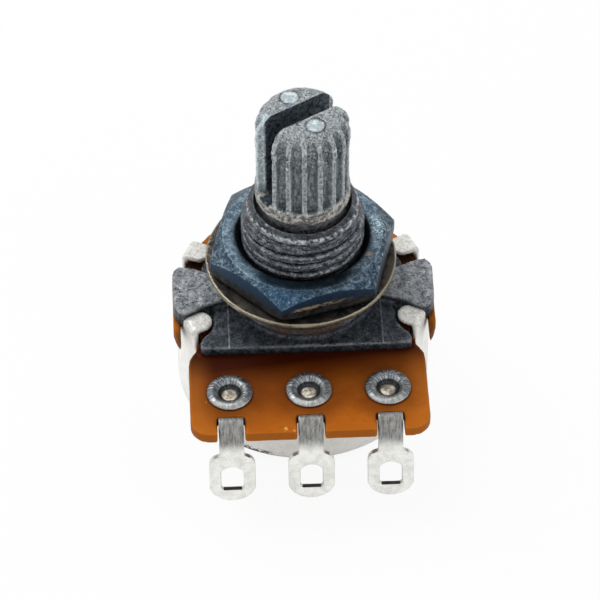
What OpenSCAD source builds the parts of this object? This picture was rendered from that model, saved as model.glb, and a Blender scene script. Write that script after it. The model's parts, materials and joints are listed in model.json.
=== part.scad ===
// Rotary potentiometer with a threaded bushing, a split knurled shaft and three solder lugs.
// Millimetres. Origin: centre of the can's back face. +Z runs along the shaft to its free end.
// The lugs point to -Y. The shaft is drawn at its clockwise end stop.

/* [Stack along the shaft] */
// Height of the can from its back face to the rim that carries the board
can_h = 6.65; // [4:0.05:12]
// Thickness of the resistor board
board_t = 0.8; // [0.5:0.05:2]
// Height of the plate's front tab above the board
plate_front_t = 0.7; // [0.4:0.05:1.5]
// Height of the plate's two side ears above the board
ear_t = 1.3; // [0.8:0.05:2]
// Height of the plate's thin ledge under the folded tabs
ledge_t = 0.45; // [0.3:0.05:0.6]
// Height of the round boss that the washer sits on, above the board
boss_t = 3.1; // [1.8:0.05:4]
// Length of the threaded bushing above the boss
bushing_len = 5.57; // [4:0.01:10]
// Length of the shaft above the bushing
shaft_out = 7.78; // [5:0.01:25]

/* [Can] */
// Outer radius of the can
can_r = 8.35; // [7:0.05:10]
// Sheet thickness of the can wall and floor
can_t = 0.3; // [0.2:0.05:0.6]
// Radius of the can's rounded back edge
can_edge_r = 0.6; // [0.4:0.1:1.5]
// Depth of the cut in the rim that clears the lug bases
rim_cut = 1.6; // [1:0.1:3]
// Half width of that cut
rim_cut_half = 7.0; // [5:0.1:7.4]
// Half angle of each tab leg on the rim
leg_half_deg = 6.9; // [4:0.1:9]
// Width of each folded tab
tab_w = 1.55; // [1:0.05:2]
// Sheet thickness of the folded tabs
tab_t = 0.4; // [0.25:0.05:0.5]
// Reach of each folded tab in from the can's outside
tab_reach = 1.7; // [1.2:0.05:2.2]
// Half angle of the stop dimple in the can floor
stop_half_deg = 15; // [8:1:25]
// Height of the stop dimple's top above the back face
stop_h = 2.7; // [1.5:0.1:3]
// Distance of the stop dimple from the can's outside
stop_inset = 1.95; // [1.5:0.05:2.5]
// Width of the stop dimple
stop_w = 1.8; // [1.2:0.1:2.2]

/* [Board] */
// Distance of the board's straight sides inside the can's outside
side_inset = 0.71; // [0.5:0.01:1]
// Length of the board in front of the terminal row
board_lap = 3.44; // [3:0.02:5]
// Distance of the board's round rear inside the can's outside
rear_inset = 0.25; // [0.1:0.05:0.5]
// Distance of the board's two pointed horns outside the can
horn_out = 0.2; // [0.1:0.05:0.4]
// Radius of the front corners
board_corner_r = 1.2; // [0.4:0.1:2]
// Radius of the clearance hole in the middle
board_hole_r = 4.0; // [3.8:0.1:4.1]
// Distance between neighbouring terminals
pitch = 5.07; // [4.5:0.01:5.2]
// Distance of the terminal row outside the can
row_out = 0.35; // [0.2:0.05:1]
// Width of each notch in the front edge
notch_w = 1.75; // [1.65:0.05:2.2]
// Distance of each notch's inner end in front of the terminal row
notch_lap = 2.0; // [1.8:0.05:2.4]
// Thickness of the printed tracks
track_t = 0.08; // [0.05:0.01:0.2]
// Distance of the carbon track from the can's outside
track_inset = 1.6; // [1.4:0.05:2]
// Width of the carbon track
track_w = 1.4; // [1:0.05:1.6]
// Distance of the collector ring from the board's hole
ring_gap = 0.2; // [0.1:0.05:0.4]
// Width of the collector ring
collector_w = 0.8; // [0.6:0.05:0.9]

/* [Bushing and fasteners] */
// Radius over the bushing thread
thread_r = 3.97; // [3.5:0.01:5]
// Distance between thread grooves
thread_pitch = 0.75; // [0.5:0.05:1.5]
// Number of thread grooves
thread_turns = 6; // [0:1:8]
// Height of the first groove above the boss
thread_start = 0.48; // [0.3:0.02:0.7]
// Depth of the thread grooves
thread_depth = 0.3; // [0.1:0.02:0.4]
// Half width of a thread groove at the crest
thread_half_w = 0.22; // [0.1:0.02:0.3]
// Length of the bushing's tapered end
taper_len = 1.47; // [0.8:0.01:2]
// Radius of the worn ring at the tapered end
nose_r = 3.55; // [3.4:0.01:3.8]
// Distance of that ring below the bushing's end
nose_drop = 0.29; // [0.1:0.01:0.5]
// Radius of the rounded mouth of the bore
mouth_r = 3.18; // [3.1:0.01:3.3]
// Depth of the rounded mouth
mouth_depth = 0.3; // [0.1:0.05:0.6]
// Radius of the boss under the washer
boss_r = 4.8; // [4.4:0.1:5.4]
// Overlap of the plate's thin ledge and the folded tabs' ends
ledge_lap = 0.25; // [0.1:0.05:0.6]
// Distance of the ledge's straight front from the shaft axis
ledge_front = 5.3; // [4:0.1:5.4]
// Running clearance between shaft and bore, on the radius
shaft_gap = 0.03; // [0.01:0.01:0.08]
// Wall of the hex nut between its hole and its flats
nut_wall = 1.45; // [1.1:0.05:2]
// Thickness of the hex nut
nut_t = 1.95; // [1.5:0.05:3.5]
// Gap under the nut, which is not run down fully
nut_lift = 0.2; // [0:0.05:1]
// Turn of the nut about the shaft axis
nut_deg = 15.2; // [0:0.1:60]
// Clearance of the nut on the thread's crest, on the radius
nut_gap = 0.03; // [0.01:0.01:0.1]
// Height of the chamfer on the nut's upper corners
nut_cham_h = 0.85; // [0.3:0.05:1.2]
// Width of that chamfer
nut_cham_w = 1.1; // [0.5:0.05:1.5]
// Size of the chamfer on the nut's lower corners
nut_low_cham = 0.25; // [0.1:0.05:0.6]
// Size of the countersink in the nut's top
nut_sink = 0.36; // [0.1:0.02:0.6]
// Outer radius of the flat washer
washer_r = 6.2; // [5:0.1:8]
// Thickness of the flat washer
washer_t = 0.35; // [0.3:0.05:1]
// Clearance of the washer's hole round the thread, on the radius
washer_gap = 0.25; // [0.1:0.05:0.5]
// Sideways shift of the loose washer as it lies
washer_shift = -0.12; // [-0.2:0.02:0.2]

/* [Shaft] */
// Radius of the shaft over the knurl and in the bore
shaft_r = 2.97; // [2.5:0.01:3.2]
// Radius at the bottom of the knurl grooves
root_r = 2.48; // [2:0.02:2.8]
// Number of knurl crests
crests = 18; // [12:1:40]
// Width of a groove at the crest radius
groove_w = 0.72; // [0.3:0.02:0.9]
// Width of a groove at its root
groove_root_w = 0.3; // [0.2:0.02:0.7]
// Height of the grooves' lower ends above the collar
groove_lift = 0.02; // [0.02:0.01:0.1]
// Radius of the smooth collar under the knurl
collar_r = 3.05; // [3:0.01:3.2]
// Length of the collar
collar_len = 1.0; // [0.2:0.05:2]
// Length of the thinner neck that shows between bushing and collar
neck_len = 0.53; // [0.2:0.01:1]
// Radius of that neck
neck_r = 2.85; // [2.6:0.05:2.95]
// Depth of the neck inside the bushing's mouth
neck_sunk = 0.5; // [0.2:0.1:1]
// Width of the slot at the shaft top
slot_w_top = 1.3; // [0.8:0.02:1.8]
// Width of the slot at its floor
slot_w_floor = 1.14; // [0.6:0.02:1.4]
// Direction of the slot from +X with the shaft at its clockwise stop
slot_deg = 30; // [0:0.1:180]
// Radius of the two shallow round marks on the shaft top
mark_r = 0.65; // [0.3:0.05:0.8]
// Depth of those marks
mark_depth = 0.06; // [0.02:0.01:0.15]
// Distance of those marks from the shaft axis
mark_at = 1.5; // [1.2:0.02:1.7]

/* [Terminals] */
// Outer radius of the eyelet flange
eyelet_r = 1.5; // [1.2:0.05:1.8]
// Outer radius of the eyelet barrel
barrel_r = 0.95; // [0.8:0.05:1.1]
// Radius of the domed solder floor inside the eyelet
eyelet_floor_r = 0.58; // [0.4:0.02:0.62]
// Thickness of the lug sheet
lug_t = 0.45; // [0.3:0.05:0.6]
// Width of the lug strip
strip_w = 1.58; // [1.2:0.02:1.6]
// Length of the strip between its bend and the ring's shoulders
strip_len = 2.2; // [2:0.1:4]
// Width of the lug ring
ring_w = 2.95; // [2.4:0.05:3.4]
// Length of the lug ring from shoulder to tip
ring_len = 3.35; // [2.6:0.05:3.6]
// Width of the slot-like wire hole
wire_w = 1.44; // [1:0.02:1.6]
// Length of the wire hole
wire_len = 1.75; // [1.2:0.05:2]
// Distance of the wire hole's straight foot from its middle
wire_foot = 0.88; // [0.5:0.02:1]
// Angle of the hanging lug below the board plane
droop_deg = 75; // [60:1:85]
// Gap between the lug's upright and the notch's inner end
notch_gap = 0.06; // [0.02:0.01:0.2]
// Distance of the lug's bend below the board's top
bend_drop = 0.12; // [0:0.02:0.4]

/* [Rotor] */
// Gap between the rotor disc and the can's wall
rotor_gap = 1.1; // [0.4:0.05:1.6]
// Radius of the rotor hub
hub_r = 3.3; // [3:0.1:3.6]
// Half angle of the rotor's stop arm
arm_half_deg = 14.6; // [8:0.1:24.6]
// Half width across the flats of the shaft tail
tail_flat = 1.5; // [1.2:0.05:1.8]
// Radius of the shaft tail
tail_r = 2.2; // [2:0.05:2.3]
// Distance of the wiper's flat ring inside the rotor's rim
wiper_inset = 0.2; // [0.1:0.05:0.4]
// Thickness of the wiper's spring sheet
wiper_t = 0.2; // [0.1:0.05:0.3]
// Gap between the wiper's contacts and the printed tracks
wiper_gap = 0.02; // [0.01:0.01:0.05]

/* [Hidden] */
$fn = 96;
board_z = can_h + board_t;
tab_tip_r = can_r - tab_reach;
stop_ro = can_r - stop_inset;
stop_ri = stop_ro - stop_w;
board_half = can_r - side_inset;
board_rear_r = can_r - rear_inset;
horn_half = can_r + horn_out;
row_y = can_r + row_out;
board_front = row_y + board_lap;
notch_y = row_y + notch_lap;
track_ro = can_r - track_inset;
track_ri = track_ro - track_w;
ring_ri = board_hole_r + ring_gap;
ring_ro = ring_ri + collector_w;
ledge_r = tab_tip_r + ledge_lap;
rotor_r = can_r - can_t - rotor_gap;
wiper_ro = rotor_r - wiper_inset;
nut_af = 2 * (thread_r + nut_gap + nut_wall);
boss_z = board_z + boss_t;
washer_z = boss_z + washer_t;
nut_z = washer_z + nut_lift;
bushing_z = boss_z + bushing_len;
top_z = bushing_z + shaft_out;
neck_z = bushing_z + neck_len;
collar_z = neck_z + collar_len;
collar_cham = 0.15;
floor_z = collar_z - 0.06;
taper_z = bushing_z - taper_len;
nose_z = bushing_z - nose_drop;
bore_r = shaft_r + shaft_gap;
pad_z = can_h - track_t;
pad_r = 1.35;
lug_z = pad_z - lug_t;
keep_z = board_z - 0.62;
keep_t = 0.5;
keep_r = 3.75;
keep_gap_deg = 20;
shoulder_z = can_h - 0.8;
disc_z = can_h - 2.65;
disc_t = 1.0;
hub_z = can_h - 4.5;
arm_z = hub_z - 0.35;
arm_r = stop_ro - 0.1;
ring_seat_r = 2.4;
stake_r = 2.7;
stake_h = 0.45;
tip_z = pad_z - wiper_gap;
leg_z = board_z + ledge_t;
bend_out = 0.02;
rest_deg = -75 + stop_half_deg;
eps = 0.01;

// Sector of a circle, which cuts rings to arcs
module sector(r, a0, a1) {
    steps = ceil((a1 - a0) / 45);
    polygon(concat([[0, 0]], [for (i = [0 : steps]) let (a = a0 + (a1 - a0) * i / steps)
        [1.2 * r * cos(a), 1.2 * r * sin(a)]]));
}

module ring_arc(ri, ro, a0, a1) {
    intersection() {
        difference() {
            circle(r = ro);
            circle(r = ri);
        }
        sector(ro, a0, a1);
    }
}

module both_sides() {
    children();
    mirror([1, 0, 0]) children();
}

// Drawn sheet can: rounded back edge, stop dimple, cut rim and four folded tabs
tabs = [[-156.3, -5], [-23.7, 5], [25.5, 0], [154.5, 0]];

module can_profile(r, edge, z0, z1) {
    translate([0, z0]) square([r - edge, z1 - z0]);
    translate([0, z0 + edge]) square([r, z1 - z0 - edge]);
    translate([r - edge, z0 + edge]) circle(r = edge);
}

module stop_dimple(grow, h) {
    half = stop_half_deg + 3 * grow;
    linear_extrude(h) ring_arc(stop_ri - grow, stop_ro + grow, -90 - half, -90 + half);
}

module folded_tab(skew) {
    root = can_r - tab_t + bend_out;
    inner = tab_tip_r + tab_w / 2 - root;
    translate([root, 0, leg_z]) rotate([0, 0, skew]) {
        intersection() {
            rotate([90, 0, 0]) cylinder(r = tab_t, h = tab_w, center = true);
            translate([-0.1, -tab_w, -0.1]) cube([1, 2 * tab_w, 1]);
        }
        translate([inner, -tab_w / 2, 0]) cube([-inner, tab_w, tab_t]);
        translate([inner, 0, 0]) cylinder(r = tab_w / 2, h = tab_t);
    }
}

module rear_can() {
    color([0.93, 0.93, 0.9]) difference() {
        union() {
            difference() {
                rotate_extrude() intersection() {
                    difference() {
                        can_profile(can_r, can_edge_r, 0, leg_z);
                        can_profile(can_r - can_t, can_edge_r - can_t, can_t, leg_z + 1);
                    }
                    square([can_r + 1, leg_z]);
                }
                for (i = [0 : 3]) {
                    next = i < 3 ? tabs[i + 1][0] : tabs[0][0] + 360;
                    translate([0, 0, can_h]) linear_extrude(4)
                        sector(can_r, tabs[i][0] + leg_half_deg, next - leg_half_deg);
                }
                translate([-rim_cut_half, -can_r - 1, can_h - rim_cut])
                    cube([2 * rim_cut_half, can_r - 4, 4]);
            }
            translate([0, 0, can_t / 2]) stop_dimple(0, stop_h - can_t / 2);
            for (t = tabs)
                rotate([0, 0, t[0]]) folded_tab(t[1]);
        }
        translate([0, 0, -1]) stop_dimple(-can_t, 1 + stop_h - can_t);
    }
}

// Board with a round rear, pointed side horns, leg slots, centre hole and three front notches
function arc_pts(c, r, a0, a1, n) = [for (i = [0 : n]) let (a = a0 + (a1 - a0) * i / n)
    [c[0] + r * cos(a), c[1] + r * sin(a)]];

function flipped(pts) = [for (i = [len(pts) - 1 : -1 : 0]) [-pts[i][0], pts[i][1]]];

board_side = concat(
    arc_pts([board_half - board_corner_r, -board_front + board_corner_r], board_corner_r, -90, 0, 8),
    [[board_half, -6.1], [board_half - 0.1, -5.6], [can_r - 1.05, -5.2], [can_r - 1.22, -4.95],
        [can_r - 1.25, -4.45], [can_r - 1.5, -4.3], [can_r - 1.63, -4.1], [can_r - 1.63, -3.9],
        [can_r - 0.85, -2.05], [can_r - 0.27, -2.05], [can_r - 0.27, -4.15], [can_r - 0.19, -4.12],
        [can_r + 0.02, -3.7], [horn_half, -3], [horn_half, 1.5], [horn_half - 0.35, 1.85]]);

module board_outline() {
    difference() {
        union() {
            polygon(concat(board_side, flipped(board_side)));
            intersection() {
                circle(r = board_rear_r);
                translate([-2 * can_r, 1]) square([4 * can_r, 2 * can_r]);
            }
        }
        both_sides() rotate([0, 0, tabs[2][0]]) translate([can_r - 0.45, -1.3]) square([2, 2.5]);
        circle(r = board_hole_r);
        for (i = [-1 : 1])
            translate([i * pitch - notch_w / 2, -board_front - 1])
                square([notch_w, board_front + 1 - notch_y]);
        for (i = [-1 : 1])
            translate([i * pitch, -row_y]) circle(r = barrel_r);
    }
}

module resistor_board() {
    color([0.72, 0.42, 0.14]) translate([0, 0, can_h]) linear_extrude(board_t) board_outline();
}

// Printed tracks on the underside of the board
module printed(h = track_t) {
    translate([0, 0, can_h - h]) linear_extrude(h) children();
}

module carbon_track() {
    color([0.08, 0.08, 0.09]) printed() ring_arc(track_ri, track_ro, -58, 238);
}

module collector_ring() {
    color([0.75, 0.75, 0.77]) printed() difference() {
        union() {
            ring_arc(ring_ri, ring_ro, 0, 360);
            translate([-0.5, -row_y]) square([1, row_y - ring_ro + 0.3]);
            translate([0, -row_y]) circle(r = pad_r);
        }
        circle(r = ring_ri);
        translate([0, -row_y]) circle(r = barrel_r);
    }
}

module silver_pad(side) {
    color([0.75, 0.75, 0.77]) printed() scale([side, 1]) difference() {
        union() {
            ring_arc(track_ri, track_ro, -66, -58);
            polygon([[track_ri - 3.35, -track_ri + 0.3], [track_ri - 2.7, -track_ri - 0.85],
                [pitch - 1.32, -row_y + 0.5], [pitch - 0.07, -row_y + 1.3],
                [pitch - 1.07, -row_y + 2.1], [track_ri - 2.15, -track_ri - 0.55],
                [track_ri - 2.45, -track_ri + 0.35]]);
            translate([pitch, -row_y]) circle(r = pad_r);
        }
        circle(r = track_ri);
        rotate([0, 0, -58]) square([12, 12]);
        translate([pitch, -row_y]) circle(r = barrel_r);
    }
}

module silver_pad_left() {
    silver_pad(-1);
}

module silver_pad_right() {
    silver_pad(1);
}

// Rolled eyelet: dished flange on the board, throat with a solder floor, rolled foot under the lug
module eyelet(i) {
    foot_z = lug_z - 0.3;
    color([0.5, 0.51, 0.54]) translate([i * pitch, -row_y, 0]) rotate_extrude()
        polygon([[0, foot_z], [1.25, foot_z], [1.35, foot_z + 0.15], [1.3, lug_z],
            [barrel_r, lug_z], [barrel_r, board_z], [eyelet_r - 0.08, board_z],
            [eyelet_r, board_z + 0.08], [eyelet_r - 0.05, board_z + 0.17],
            [eyelet_r - 0.25, board_z + 0.26], [1.08, board_z + 0.28], [0.9, board_z + 0.22],
            [0.76, board_z + 0.08], [0.66, board_z - 0.08], [eyelet_floor_r, board_z - 0.18],
            [eyelet_floor_r - 0.12, board_z - 0.12], [0, board_z - 0.04]]);
}

module eyelet_left() {
    eyelet(-1);
}

module eyelet_centre() {
    eyelet(0);
}

module eyelet_right() {
    eyelet(1);
}

// Solder lug: base clamped under the board, strip up through the notch, hanging ring
module lug_ring() {
    w = ring_w / 2;
    tip = -ring_len;
    half = [[strip_w / 2, 0.05], [w - 0.28, -0.12], [w - 0.06, -0.38], [w, -0.68], [w, tip + 0.88],
        [w - 0.3, tip + 0.42], [w - 0.75, tip + 0.12], [0.3, tip]];
    difference() {
        polygon(concat(half, flipped(half)));
        translate([0, tip / 2]) {
            intersection() {
                square([wire_w, 3], center = true);
                circle(r = wire_len / 2);
            }
            polygon([[-wire_w / 2, 0], [-wire_w / 2, -wire_foot + 0.1], [-wire_w / 2 + 0.12, -wire_foot],
                [wire_w / 2 - 0.12, -wire_foot], [wire_w / 2, -wire_foot + 0.1], [wire_w / 2, 0]]);
        }
    }
}

module lug(i) {
    upright_y = notch_y + lug_t / 2 + notch_gap;
    bend_z = board_z - bend_drop;
    color([0.86, 0.86, 0.84]) translate([i * pitch, 0, 0]) {
        difference() {
            union() {
                translate([0, -row_y, lug_z]) cylinder(r = eyelet_r, h = lug_t);
                translate([-strip_w / 2, -upright_y, lug_z]) cube([strip_w, upright_y - row_y, lug_t]);
            }
            translate([0, -row_y, lug_z - 1]) cylinder(r = barrel_r, h = 3);
        }
        translate([-strip_w / 2, -upright_y - lug_t / 2, lug_z]) cube([strip_w, lug_t, bend_z - lug_z]);
        translate([0, -upright_y - lug_t / 2 - 0.02, bend_z]) {
            intersection() {
                rotate([0, 90, 0]) cylinder(r = lug_t, h = strip_w, center = true);
                translate([-strip_w / 2, -lug_t, 0]) cube([strip_w, 2 * lug_t, lug_t]);
            }
            rotate([droop_deg, 0, 0]) linear_extrude(lug_t) {
                translate([-strip_w / 2, -strip_len]) square([strip_w, strip_len]);
                translate([0, -strip_len]) lug_ring();
            }
        }
    }
}

module lug_left() {
    lug(-1);
}

module lug_centre() {
    lug(0);
}

module lug_right() {
    lug(1);
}

// Die cast plate and bushing in one piece
module front_tab() {
    both_sides() polygon([[0, 0], [0, -5.47], [can_r - 2.75, -5.45], [can_r - 1.71, -5.4],
        [can_r - 1.54, -5.26], [can_r - 1.54, -4.82], [can_r - 1.69, -4.47], [can_r - 2.1, -4.0],
        [can_r - 2.37, -3.55], [can_r - 2.42, -2.9], [can_r - 2.55, -2.1], [can_r - 3, -1.7],
        [4, 0]]);
}

module ear() {
    polygon([[3.6, -1.2], [can_r - 3.05, -1.7], [can_r - 1.85, -2.12], [can_r - 0.85, -2.72],
        [can_r - 0.5, -2.8], [can_r - 0.15, -2.55], [can_r + 0.07, -2.1], [can_r + 0.15, -1.6],
        [can_r + 0.17, 0.7], [can_r + 0.07, 1.1], [can_r - 0.3, 1.38], [can_r - 0.65, 1.36],
        [can_r - 1.25, 1.15], [can_r - 2.53, 0.57], [3.6, -0.1]]);
}

function skin_r(z) = thread_r - max(0, z - taper_z) * (thread_r - nose_r) / (nose_z - taper_z);

module threaded_tube() {
    grooves = [for (k = [0 : thread_turns - 1], s = [-1 : 1])
        let (z = boss_z + thread_start + k * thread_pitch + s * thread_half_w)
        [skin_r(z) - (s == 0 ? thread_depth : 0), z]];
    rotate_extrude() polygon(concat([[0, boss_z - 1], [thread_r, boss_z - 1]], grooves,
        [[nose_r, nose_z], [mouth_r, bushing_z], [0, bushing_z]]));
}

module bushing_plate() {
    color([0.42, 0.44, 0.48]) difference() {
        union() {
            translate([0, 0, board_z]) {
                linear_extrude(ledge_t) intersection() {
                    circle(r = ledge_r);
                    translate([-can_r, -ledge_front]) square([2 * can_r, 2 * can_r]);
                }
                linear_extrude(plate_front_t) front_tab();
                linear_extrude(ear_t) both_sides() ear();
                cylinder(r = boss_r, h = boss_t);
            }
            threaded_tube();
        }
        translate([0, 0, board_z - 1]) cylinder(r = bore_r, h = boss_t + bushing_len + 2);
        translate([0, 0, bushing_z - mouth_depth])
            cylinder(r1 = bore_r, r2 = 2 * mouth_r - bore_r, h = 2 * mouth_depth);
    }
}

module flat_washer() {
    color([0.5, 0.46, 0.4]) translate([washer_shift, 0, boss_z]) difference() {
        cylinder(r = washer_r, h = washer_t);
        translate([0, 0, -1]) cylinder(r = thread_r + washer_gap, h = washer_t + 2);
    }
}

module hex_nut() {
    rc = nut_af / 2 / cos(30);
    hole_r = thread_r + nut_gap;
    color([0.48, 0.55, 0.62]) translate([0, 0, nut_z]) difference() {
        intersection() {
            rotate([0, 0, nut_deg]) cylinder(r = rc, h = nut_t, $fn = 6);
            rotate_extrude() polygon([[0, 0], [rc - 2 * nut_low_cham, 0], [rc, nut_low_cham],
                [rc, nut_t - nut_cham_h], [rc - nut_cham_w, nut_t], [0, nut_t]]);
        }
        translate([0, 0, -1]) cylinder(r = hole_r, h = nut_t + 2);
        translate([0, 0, nut_t - nut_sink])
            cylinder(r1 = hole_r, r2 = hole_r + nut_sink + eps, h = nut_sink + eps);
    }
}

// Split knurled shaft with a flatted tail and a staked end
module knurl_groove() {
    out_r = shaft_r + 0.3;
    half = [[root_r, groove_root_w / 2], [root_r + 0.1, groove_root_w / 2 + 0.12],
        [shaft_r, groove_w / 2], [out_r, groove_w / 2 + 0.03]];
    translate([0, 0, collar_z + groove_lift]) linear_extrude(top_z - collar_z + 1)
        polygon(concat(half, [for (i = [3 : -1 : 0]) [half[i][0], -half[i][1]]]));
}

module shaft_body() {
    rotate_extrude() polygon([[0, shoulder_z], [shaft_r, shoulder_z], [shaft_r, keep_z],
        [ring_seat_r, keep_z], [ring_seat_r, keep_z + keep_t], [shaft_r, keep_z + keep_t],
        [shaft_r, bushing_z - neck_sunk],
        [neck_r, bushing_z - neck_sunk], [neck_r, neck_z], [collar_r - collar_cham, neck_z],
        [collar_r, neck_z + collar_cham], [collar_r, collar_z], [shaft_r, collar_z],
        [shaft_r, top_z - 1.25], [2.92, top_z - 0.98], [2.8, top_z - 0.74], [2.6, top_z - 0.5],
        [2.35, top_z - 0.22],
        [2.12, top_z - 0.05], [2, top_z], [0, top_z]]);
}

module shaft() {
    color([0.82, 0.81, 0.76]) difference() {
        union() {
            shaft_body();
            intersection() {
                translate([0, 0, arm_z]) cylinder(r = tail_r, h = shoulder_z - arm_z + eps);
                translate([-5, -tail_flat, 0]) cube([10, 2 * tail_flat, 20]);
            }
            translate([0, 0, hub_z - stake_h]) cylinder(r = stake_r, h = stake_h);
        }
        for (i = [0 : crests - 1])
            rotate([0, 0, -90 + (i + 0.5) * 360 / crests]) knurl_groove();
        rotate([0, 0, slot_deg]) rotate([90, 0, 90]) linear_extrude(10, center = true)
            polygon([[-slot_w_floor / 2, floor_z], [slot_w_floor / 2, floor_z],
                [slot_w_top / 2, top_z + eps], [-slot_w_top / 2, top_z + eps]]);
        for (s = [-1, 1])
            rotate([0, 0, slot_deg + 90 * s]) translate([mark_at, 0, top_z - mark_depth])
                cylinder(r = mark_r, h = 1);
    }
}

module retaining_ring() {
    color([0.45, 0.45, 0.46]) translate([0, 0, keep_z]) linear_extrude(keep_t) difference() {
        circle(r = keep_r);
        circle(r = ring_seat_r);
        rotate([0, 0, keep_gap_deg]) polygon([[0, 0], [6, -1.9], [6, 1.9]]);
    }
}

// Rotor disc with hub and stop arm, turning with the shaft
module rotor() {
    color([0.16, 0.16, 0.17]) difference() {
        union() {
            translate([0, 0, disc_z]) cylinder(r = rotor_r, h = disc_t);
            translate([0, 0, hub_z]) cylinder(r = hub_r, h = shoulder_z - hub_z);
            translate([0, 0, arm_z]) linear_extrude(disc_z - arm_z + eps)
                rotate([0, 0, rest_deg]) ring_arc(hub_r - 0.1, arm_r, -arm_half_deg, arm_half_deg);
        }
        translate([0, 0, hub_z - 2]) linear_extrude(8) intersection() {
            circle(r = tail_r);
            square([10, 2 * tail_flat], center = true);
        }
    }
}

// Spring wiper: flat ring on the rotor with two fingers up to the tracks
module wiper_finger(r, w) {
    rise = tip_z - disc_z - disc_t;
    rotate([0, 0, rest_deg]) translate([r + w / 2, 0, disc_z + disc_t])
        rotate([0, -90, 0]) linear_extrude(w) polygon([[0.06, 2.7], [0.14, 2.7],
            [rise - wiper_t, 0.45], [rise, 0.15], [rise, -0.15], [rise - wiper_t, -0.45],
            [rise - wiper_t - 0.3, -0.8], [rise - wiper_t - 0.5, -0.65],
            [rise - 2 * wiper_t, -0.25], [rise - 2 * wiper_t, 0.25], [0.06, 2.45]]);
}

module wiper() {
    color([0.72, 0.55, 0.25]) {
        translate([0, 0, disc_z + disc_t]) linear_extrude(wiper_t) difference() {
            circle(r = wiper_ro);
            circle(r = hub_r);
        }
        wiper_finger((track_ri + track_ro) / 2 - 0.1, 0.7);
        wiper_finger((ring_ri + ring_ro) / 2, 0.6);
    }
}

rear_can();
resistor_board();
carbon_track();
collector_ring();
silver_pad_left();
silver_pad_right();
eyelet_left();
eyelet_centre();
eyelet_right();
lug_left();
lug_centre();
lug_right();
bushing_plate();
flat_washer();
hex_nut();
shaft();
retaining_ring();
rotor();
wiper();
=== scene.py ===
"""Looks of the rotary potentiometer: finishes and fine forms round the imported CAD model."""
import json
import math

import bpy
import bmesh
import numpy as np
from mathutils import Matrix, Vector

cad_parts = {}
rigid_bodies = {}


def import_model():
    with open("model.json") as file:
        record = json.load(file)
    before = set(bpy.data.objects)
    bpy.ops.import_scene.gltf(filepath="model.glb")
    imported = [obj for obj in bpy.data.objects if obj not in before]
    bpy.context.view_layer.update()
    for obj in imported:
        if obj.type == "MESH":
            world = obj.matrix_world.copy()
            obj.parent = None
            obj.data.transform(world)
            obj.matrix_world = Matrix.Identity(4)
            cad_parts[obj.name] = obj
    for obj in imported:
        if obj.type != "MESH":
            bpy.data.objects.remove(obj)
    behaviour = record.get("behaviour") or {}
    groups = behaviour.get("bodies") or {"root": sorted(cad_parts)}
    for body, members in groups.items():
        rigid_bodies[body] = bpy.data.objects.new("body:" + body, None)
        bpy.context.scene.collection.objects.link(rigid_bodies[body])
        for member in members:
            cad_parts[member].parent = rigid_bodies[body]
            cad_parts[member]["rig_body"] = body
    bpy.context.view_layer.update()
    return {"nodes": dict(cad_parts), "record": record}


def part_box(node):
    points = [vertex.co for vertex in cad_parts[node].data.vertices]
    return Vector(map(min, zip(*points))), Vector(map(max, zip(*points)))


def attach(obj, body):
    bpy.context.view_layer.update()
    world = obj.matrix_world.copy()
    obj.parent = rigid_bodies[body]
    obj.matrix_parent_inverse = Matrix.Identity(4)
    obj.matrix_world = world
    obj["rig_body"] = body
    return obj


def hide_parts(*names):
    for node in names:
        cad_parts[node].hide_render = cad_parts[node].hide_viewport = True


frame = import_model()
nodes = frame["nodes"]
slot_of = {part["node"]: part["material_slot"] for part in frame["record"]["subparts"]}
MM = 0.001

# Levels of the CAD model, in millimetres above the can's back face
BOARD_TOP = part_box("resistor_board")[1].z / MM
EAR_TOP = BOARD_TOP + 1.3
BOSS_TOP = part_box("flat_washer")[0].z / MM
NUT_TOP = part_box("hex_nut")[1].z / MM
BUSHING_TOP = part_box("bushing_plate")[1].z / MM
SHAFT_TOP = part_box("shaft")[1].z / MM

# Bushing: thread with one groove a turn, taper, worn ring and rounded mouth
THREAD_R = 3.97
THREAD_PITCH = 0.75
THREAD_DEPTH = 0.3
GROOVE_HALF = 0.24
FIRST_GROOVE = BOSS_TOP + 0.48
TAPER_Z = BUSHING_TOP - 1.47
NOSE_Z = BUSHING_TOP - 0.29
NOSE_R = 3.55
MOUTH_R = 3.18
BORE_R = 3.0
MOUTH_DEPTH = 0.3
DENTS_PER_MM = 1.7
DENT_DEPTH = 0.02
GRAINS_PER_MM = 6.0
GRAIN_HEIGHT = 0.006
WEAR_FROM = NUT_TOP + 1.0
WEAR_LENGTH = 1.7
WEAR_SHARE = 0.5
DENT_SHARE = 0.3

# Shaft features that the material needs
NECK_TOP = BUSHING_TOP + 0.53
COLLAR_TOP = NECK_TOP + 1.0
SLOT_DEG = 30
SLOT_HALF = 0.6
SLOT_WIDENING = 0.0127
SLOT_FLOOR = COLLAR_TOP - 0.06
MARK_AT = 1.5
MARK_R = 0.65
CHIPS_FROM = SHAFT_TOP - 2.9
CHIPS_TO = SHAFT_TOP - 0.9
CHIPS_R = 2.3

# Eyelets and lugs in the board, with where the painted dark reflection on the lugs' strip begins and the
# lugs' eye, and the lines on the plate's tab
LUG_PITCH = 5.07
LUG_REFLECTION_Z = 5.5
LUG_EYE_Z = 5.4
EYELET_XS = (-LUG_PITCH, 0, LUG_PITCH)
EYELET_Y = -8.7
TAB_LINE_X = 4.97

X, Y, Z = range(3)


def linear(r, g, b):
    """A display colour, 0 to 255, as Blender's linear one."""
    out = []
    for c in (r, g, b):
        c = c / 255
        out.append(c / 12.92 if c <= 0.04045 else ((c + 0.055) / 1.055) ** 2.4)
    return (*out, 1.0)


# Geometry helpers

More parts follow.
